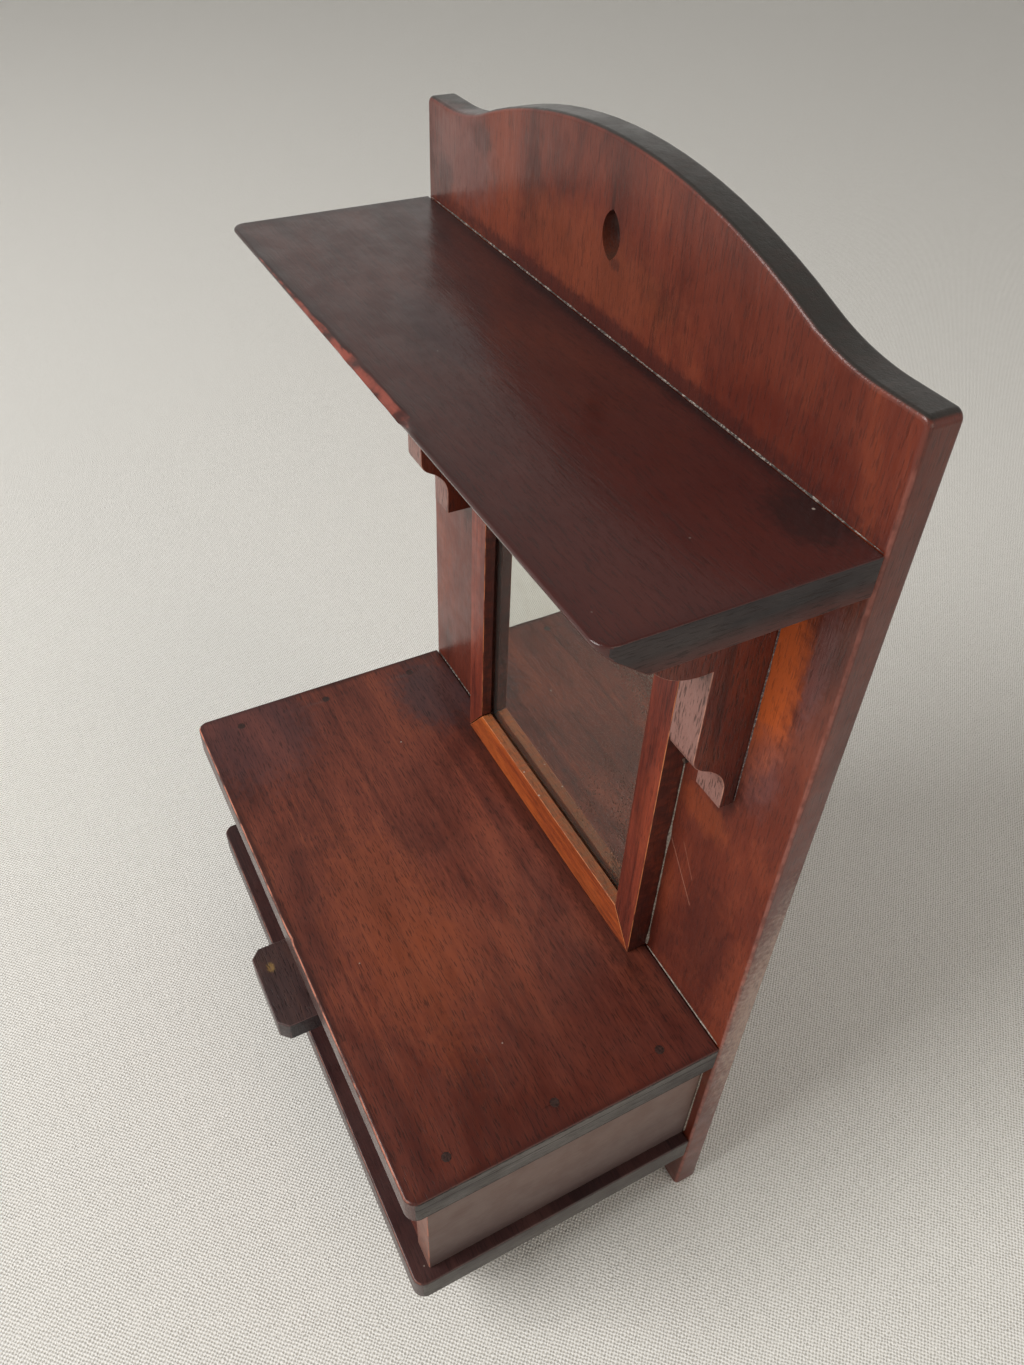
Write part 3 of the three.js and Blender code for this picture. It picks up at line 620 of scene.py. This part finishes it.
def make_back_board():
    """Its crest is clouded, with a dark top edge and painted shade above the upper shelf. Right
    of the frame it is orange, painted brighter there as if lit, then a painted pink sheen, then
    dark.
    """
    low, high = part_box("back_board")
    hole = (HANG_LOW + HANG_HIGH) / 2
    material = wood(
        "back_board_wood", BOARD_WOOD, "Z", 3, gloss=0.2, coat=0.5, relief=1.3, streaks=0.1,
        contrast=0.4, pores=0.35, blotches=0.75, worn=0.55, worn_colour=srgb(152, 92, 80),
        faces=[((0, 0, 1), srgb(40, 40, 37), 0.97), ((1, 0, 0), srgb(76, 38, 32), 0.6)],
        patches=[
            # painted sheen: pink-grey over the left of the crest
            (in_mm(-0.088, low.y, 0.338), (26, 9, 17), srgb(112, 76, 72), 0.5),
            (in_mm(-0.1, low.y, 0.328), (7, 9, 8), srgb(58, 30, 30), 0.6),
            (in_mm(-0.074, low.y, 0.346), (8, 9, 5), srgb(66, 34, 32), 0.5),
            (in_mm(-0.01, low.y, 0.333), (50, 9, 14), srgb(132, 68, 42), 0.35),
            (in_mm(0.075, low.y, 0.325), (34, 9, 12), srgb(78, 26, 18), 0.6),
            # painted shade: a dark band along the crest where the upper shelf meets it
            (in_mm(0, low.y, UPPER_HIGH.z + 0.002), (125, 9, 4), srgb(62, 24, 20), 0.75),
            # the wood's orange beside the right bracket, painted brighter as if lit where the shelf
            # shades it
            (in_mm(0.092, low.y, 0.266), (11, 9, 42), srgb(204, 98, 46), 0.85),
            # painted sheen: a pink-grey band between the orange strip and the right edge
            (in_mm(0.105, low.y, 0.28), (4, 9, 24), srgb(120, 74, 72), 0.6),
            (in_mm(0.096, low.y, 0.235), (9, 9, 18), srgb(104, 66, 64), 0.55),
            (in_mm(0.08, low.y, 0.2), (15, 9, 9), srgb(146, 70, 38), 0.4),
            (in_mm(0.093, low.y, 0.15), (15, 9, 34), srgb(64, 25, 20), 0.6),
            (in_mm(0.073, low.y, 0.128), (10, 9, 16), srgb(70, 28, 22), 0.5),
            # painted reflection: the floor's pale sheen on the lower part of the board's right side
            (in_mm(high.x + 0.002, high.y, 0.13), (4, 12, 80), srgb(158, 134, 120), 0.75),
            # painted shade: the walls inside the hanging hole
            (in_mm(hole.x, low.y + 0.006, hole.z), (2.8, 5.0, 5.0), srgb(26, 17, 15), 0.85),
            (in_mm(hole.x, low.y, HANG_HIGH.z + 0.005), (0.7, 4, 5), srgb(52, 24, 18), 0.6),
            (in_mm(hole.x + 0.003, low.y, HANG_LOW.z - 0.002), (3, 4, 2), srgb(56, 27, 22), 0.5),
        ],
        scratches=[
            (in_mm(0.0685, low.y, 0.175), in_mm(0.083, low.y, 0.157), 0.35,
             srgb(158, 110, 92), 0.6),
            (in_mm(0.0742, low.y, 0.1795), in_mm(0.0815, low.y, 0.1685), 0.3,
             srgb(150, 98, 80), 0.5),
        ],
    )
    right = high.x - 4 * MM
    shoulder = 0.335

    def rubbed(at):
        if at.y > low.y + 2.5 * MM:
            return 0.1
        return 1.0 if at.x > right and at.z < shoulder else 0.3

    board("back_board", material, bevel=1.3, wobble=0.25, axis="Z", rubbed=rubbed)


def make_upper_shelf():
    """It is the darkest board, rubbed red along its front edge up to a nick."""
    low, high = UPPER_LOW, UPPER_HIGH
    rub_start, nick = -0.085, 0.0235
    material = wood(
        "upper_shelf_wood", UPPER_WOOD, "X", 5, worn=0.9, gloss=0.13, coat=0.7, streaks=0.3,
        contrast=0.6, blotches=0.5, border=(low, high, 5.0, 0.6),
        fades=[("X", -30, 100, srgb(74, 25, 19), 0.6)],
        patches=[
            # painted reflection: the dark back board mirrored along the back of the shelf's top,
            # darker at its right end
            (in_mm(0, high.y, high.z), (125, 3.2, 5), srgb(28, 14, 14), 0.75),
            (in_mm(0.095, high.y - 0.006, high.z), (14, 9, 5), srgb(24, 13, 13), 0.7),
            (in_mm(-0.02, low.y + 0.03, high.z), (30, 9, 5), srgb(44, 22, 26), 0.5),
        ],
        worn_colour=srgb(146, 72, 58),
    )
    ends = wood(
        "upper_shelf_end_grain", END_WOOD, "Y", 6, worn=0.3, gloss=0.3, coat=0.12, rough=(0.5, 0.7),
        blotches=0.5, pores=0.6, specks=0.5,
        fades=[("Z", high.z / MM - 5, low.z / MM, srgb(84, 42, 35), 0.85)],
    )

    def wear_front(mesh, worn):
        """The front arris is rubbed down more and more towards a nick."""
        slice_up(mesh, "Y", [low.y + d * MM for d in (1.5, 2.2, 3.0, 3.8)])
        for vertex in mesh.verts:
            x = vertex.co.x
            share = min(1.0, max(0.0, (x - rub_start) / 0.105))
            growth = 0.6 + 2.6 * share if x < nick - 0.0015 else 0.7
            width = growth * MM * (1 + 0.35 * noise.noise(Vector((x * WEAR_SCALE, 3, 1))))
            back = vertex.co.y - low.y
            facet = high.z - 0.42 * (width - back)
            if back < width and vertex.co.z > facet:
                vertex.co.z = facet
                if rub_start < x < nick - 0.0005:
                    vertex[worn] = max(vertex[worn], min(1.0, (width - back) / MM * 1.4))

    def rubbed(at):
        if min(at.x - low.x, high.x - at.x) < 2 * MM:
            return 0.1
        if at.y >= low.y + 6 * MM:
            return 0.15
        return 0.85 if rub_start < at.x < nick - 0.0005 else 0.4

    board(
        "upper_shelf", material, bevel=0.6, wobble=0.15, pitch=2.5,
        shape=wear_front, rubbed=rubbed, ends=ends,
        dents=[((nick, low.y, high.z), 0.0028, (0, 0.0011, -0.0008)),
               ((-0.02, low.y, high.z), 0.0022, (0, 0.0006, -0.0006))],
    )


def make_lower_shelf():
    """It has an open grain, dark edges, and six nails with dark stopping over them."""
    low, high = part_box("lower_shelf")
    material = wood(
        "lower_shelf_wood", LOWER_WOOD, "X", 8, worn=0.95, gloss=0.2, coat=0.45, streaks=0.3,
        contrast=0.8, pores=0.55, blotches=0.45, border=(low, high, 3.6, 0.7),
        fades=[("X", 30, 113, srgb(70, 27, 20), 0.6)],
        patches=[
            (in_mm(0.02, -0.02, high.z), (60, 22, 6), srgb(138, 70, 42), 0.4),
            # painted sheen and reflection: purple-grey sheen on the left of the top, with the back
            # board and its shade mirrored near the back
            (in_mm(-0.1, low.y + 0.02, high.z), (40, 30, 6), srgb(86, 58, 60), 0.45),
            (in_mm(-0.086, BOARD_FRONT - 0.014, high.z), (26, 20, 6), srgb(66, 52, 55), 0.65),
            (in_mm(0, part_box("frame_bottom_rail")[0].y - 0.002, high.z), (110, 5, 6),
             srgb(40, 18, 14), 0.5),
        ],
    )
    ends = wood(
        "lower_shelf_end_grain", GREY_END_WOOD, "Y", 10, worn=0.3, gloss=0.3, coat=0.15,
        rough=(0.5, 0.7), blotches=0.5, pores=0.6, contrast=1.0,
        bands=[("Z", high.z / MM, 1.1, srgb(24, 17, 17), 0.9),
               ("Z", high.z / MM - 4.5, 0.25, srgb(34, 27, 27), 0.8),
               ("Z", low.z / MM, 1.6, srgb(44, 30, 29), 0.8)],
    )

    def rubbed(at):
        if min(at.x - low.x, high.x - at.x) < 2 * MM:
            return 0.12
        return 0.95 if at.y < low.y + 3 * MM and at.z > low.z + 5 * MM else 0.25

    board(
        "lower_shelf", material, bevel=0.8, wobble=0.2, pitch=3.0, rubbed=rubbed, ends=ends,
        dents=[((0.0065, low.y, high.z), 0.0026, (0, 0.0006, -0.0005))],
    )
    mesh = bmesh.new()
    for side in ("left", "right"):
        for i in (1, 2, 3):
            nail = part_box(f"lower_shelf_{side}_nail_{i}")
            middle = (nail[0] + nail[1]) / 2
            add_filler(mesh, Vector((middle.x, middle.y, high.z)), i)
    fillers = new_object("nail_fillers", mesh, filler("dark_filler"))
    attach(fillers, "shelf")


def add_filler(mesh, top, seed):
    """A disc of dark stopping pressed into a nail's hole, slightly dished."""
    around, radius = 20, 0.00166
    profile = ((1.0, -0.00045), (1.0, -0.00008), (0.7, -0.00004), (0.35, -0.00009))
    rings = []
    for share, height in profile:
        ring = []
        for j in range(around):
            angle = 2 * math.pi * j / around
            out = Vector((math.cos(angle), math.sin(angle), 0)) * radius * share
            lift = 0.00003 * noise.noise((top + out) * 900 + Vector((seed, 0, 0)))
            ring.append(mesh.verts.new(top + out + Vector((0, 0, height + lift))))
        rings.append(ring)
    skin(mesh, rings)


def make_case():
    """The two sides, the base board and the two front feet."""
    for side, seed in (("left", 10), ("right", 12)):
        low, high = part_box(f"case_{side}_side")
        top = high.z / MM
        material = wood(
            f"case_{side}_wood", SIDE_WOOD_AND_SHEEN, "Y", seed, worn=0.6, gloss=0.4, coat=0.25,
            rough=(0.5, 0.7), streaks=0.1, relief=0.5, blotches=0.2, contrast=0.4, pores=0.15,
            faces=[((0, -1, 0), srgb(150, 100, 84), 0.6)],
            fades=[("Z", top - 22, BASE_TOP / MM, srgb(62, 50, 52), 0.75)],
            bands=[("Z", BASE_TOP / MM + 0.5, 0.6, srgb(128, 120, 114), 0.7)],
        )
        board(f"case_{side}_side", material, bevel=0.5, wobble=0.12,
              rubbed=lambda at: 1.0 if at.y < low.y + 2 * MM else 0.2)
    base = wood("base_board_wood", BASE_WOOD, "X", 14, worn=0.5, gloss=0.25, coat=0.4)
    ends = wood(
        "base_board_end_grain", GREY_END_WOOD, "Y", 15, worn=0.3, gloss=0.3, coat=0.15,
        rough=(0.5, 0.7), blotches=0.4, pores=0.5,
    )
    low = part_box("base_board")[0]
    board("base_board", base, bevel=0.8, wobble=0.2, ends=ends,
          rubbed=lambda at: 0.7 if at.y < low.y + 2 * MM else 0.15)
    foot = wood("foot_wood", BASE_WOOD, "Z", 17, worn=0.6, gloss=0.3, coat=0.3)
    for side in ("left", "right"):
        board(f"{side}_front_foot", foot, bevel=0.5, wobble=0.15)


def make_brackets():
    for side, seed in (("left", 19), ("right", 22)):
        material = wood(
            f"{side}_bracket_wood", BRACKET_WOOD, "Z", seed, worn=0.8, gloss=0.25, coat=0.35,
            faces=[((0, -1, 0), srgb(142, 106, 98), 0.9), ((0, -1, -1), srgb(128, 92, 84), 0.7),
                   ((0, 0, -1), srgb(104, 74, 68), 0.6)],
            pores=0.7, streaks=0.6, worn_colour=srgb(188, 134, 116), relief=3.0,
        )
        board(f"{side}_bracket", material, bevel=0.4, wobble=0.1, pitch=2.5, axis="Z",
              rubbed=lambda at: 0.9 if at.y < BOARD_FRONT - 3 * MM else 0.2)


def make_looking_glass():
    """The four members of the frame, and the glass as a plate silvered at its back."""
    dark = srgb(54, 27, 25)
    for member, palette, grain, seed in (
        ("bottom_rail", RAIL_WOOD, "X", 25), ("top_rail", RAIL_WOOD, "X", 27),
        ("left_stile", STILE_WOOD, "Z", 29), ("right_stile", STILE_WOOD, "Z", 31),
    ):
        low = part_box(f"frame_{member}")[0]
        material = wood(
            f"frame_{member}_wood", palette, grain, seed, worn=0.8, gloss=0.25, coat=0.4,
            blotches=0.4, contrast=1.1, streaks=0.7,
            faces=[((0, 0, 1), srgb(104, 78, 56), 0.7), ((1, 0, 0), dark, 0.85),
                   ((-1, 0, 0), dark, 0.85)],
            worn_colour=srgb(206, 128, 78),
        )
        board(f"frame_{member}", material, bevel=0.3, wobble=0.06, pitch=3.0,
              rubbed=lambda at: 1.0 if at.y < low.y + 1.5 * MM else 0.2)
    low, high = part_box("mirror_glass")
    plate = bmesh.new()
    bmesh.ops.create_grid(plate, x_segments=6, y_segments=6, size=0.5)
    back = high.y - 0.0003  # just clear of the backing
    front = back - 0.0005
    for vertex in plate.verts:
        x, z = vertex.co.x + 0.5, vertex.co.y + 0.5
        vertex.co = Vector((low.x + (high.x - low.x) * x, front, low.z + (high.z - low.z) * z))
    thick = bmesh.ops.extrude_face_region(plate, geom=plate.faces[:])
    for item in thick["geom"]:
        if isinstance(item, bmesh.types.BMVert):
            item.co.y = back
    bmesh.ops.recalc_face_normals(plate, faces=plate.faces)
    glass = new_object("silvered_plate", plate, silvered_glass("old_mirror", low, high))
    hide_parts("mirror_glass")
    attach(glass, "shelf")


def make_drawer():
    front = wood("drawer_front_wood", LOWER_WOOD, "X", 35, worn=0.6, gloss=0.22, coat=0.5)
    board("drawer_front", front, "drawer", bevel=0.6, wobble=0.12)
    for name, grain, seed in (("left_side", "Y", 37), ("right_side", "Y", 39), ("back", "X", 41),
                              ("bottom", "X", 43)):
        inside = wood(
            f"drawer_{name}_wood", DRAWER_WOOD, grain, seed, worn=0.25, gloss=0.5, coat=0.05,
            rough=(0.6, 0.8), worn_colour=srgb(206, 178, 138),
        )
        board(f"drawer_{name}", inside, "drawer", bevel=0.35, wobble=0.08)
    low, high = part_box("drawer_pull")
    chip = (-0.0085, low.y + 0.0055, high.z)
    pull = wood(
        "pull_wood", PULL_WOOD, "X", 45, worn=0.35, gloss=0.22, coat=0.5, pores=0.8,
        faces=[((1, 0, 0), srgb(30, 32, 40), 0.8), ((-1, 0, 0), srgb(30, 32, 40), 0.8)],
        patches=[(in_mm(*chip), (2.6, 1.7, 1.4), srgb(140, 110, 64), 0.85)],
        worn_colour=srgb(128, 96, 94),
    )
    board(
        "drawer_pull", pull, "drawer", bevel=0.5, wobble=0.15, pitch=1.5,
        dents=[(chip, 0.0016, (0, 0, -0.0004))],
    )


def make_joint_dirt():
    """Glue and dust that lie in the corners where pieces meet."""
    grey = dusty_glue("dusty_glue", srgb(66, 58, 54), 51)
    lilac = dusty_glue("lilac_glue", srgb(92, 76, 78), 53)
    pale = dusty_glue("pale_glue", srgb(136, 126, 116), 57)
    forward, up = (0, -1, 0), (0, 0, 1)

    def level(name, left, right, z, radius, material, seed):
        """A bead along the back board, on top of a shelf."""
        bead(name, (left, BOARD_FRONT, z), (right, BOARD_FRONT, z), (forward, up), radius,
             material, seed)

    def upright(name, x, out, foot, head, radius, material, seed, **details):
        """A bead up the back board, against a piece whose side faces left or right."""
        bead(name, (x, BOARD_FRONT, foot), (x, BOARD_FRONT, head), ((out, 0, 0), forward), radius,
             material, seed, **details)

    left, right = UPPER_LOW.x, UPPER_HIGH.x
    level("upper_shelf_joint", left + 0.001, right - 0.001, UPPER_HIGH.z, 0.00042, grey, seed=2)
    for side, out in (("left", -1), ("right", 1)):
        low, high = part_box(f"{side}_bracket")
        outer, inner = (high.x, low.x) if side == "right" else (low.x, high.x)
        for name, x, direction in (("outer", outer, out), ("inner", inner, -out)):
            upright(f"{side}_bracket_{name}_glue", x, direction, low.z + 0.001, high.z - 0.0005,
                    0.00042, lilac, seed=5)
        low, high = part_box(f"case_{side}_side")
        upright(f"case_{side}_glue", high.x if side == "right" else low.x, out,
                BASE_TOP + 0.0005, high.z, 0.0005, pale, seed=11, lumps=[(0.04, 0.0007)])
    low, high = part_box("frame_left_stile")[0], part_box("frame_right_stile")[1]
    upright("frame_right_glue", high.x, 1, low.z, high.z, 0.0004, pale, seed=7,
            slot="frame_wood", lumps=[(0.015, 0.0016), (0.32, 0.0005)])
    level("lower_shelf_left_joint", left + 0.002, low.x - 0.0006, LOWER_TOP, 0.0004, grey, seed=13)
    level("lower_shelf_right_joint", high.x + 0.0006, right - 0.002, LOWER_TOP, 0.0004, pale,
          seed=13)
    upright("frame_left_glue", low.x, -1, low.z, high.z, 0.0004, grey, seed=9, slot="frame_wood")


def finish_small_parts():
    """Procedural finishes for the CAD pieces that keep their own shape."""
    metal = iron("old_iron")
    backing = wood(
        "backing_wood", DRAWER_WOOD, "Z", 49, worn=0.0, gloss=0.6, coat=0.0, rough=(0.7, 0.9),
    )
    for name, node in frame["nodes"].items():
        if node.hide_render:
            continue
        node.data.materials.clear()
        node.data.materials.append(backing if name == "mirror_backing" else metal)


make_camera()
make_studio()
make_back_board()
make_upper_shelf()
make_lower_shelf()
make_case()
make_brackets()
make_looking_glass()
make_drawer()
make_joint_dirt()
finish_small_parts()
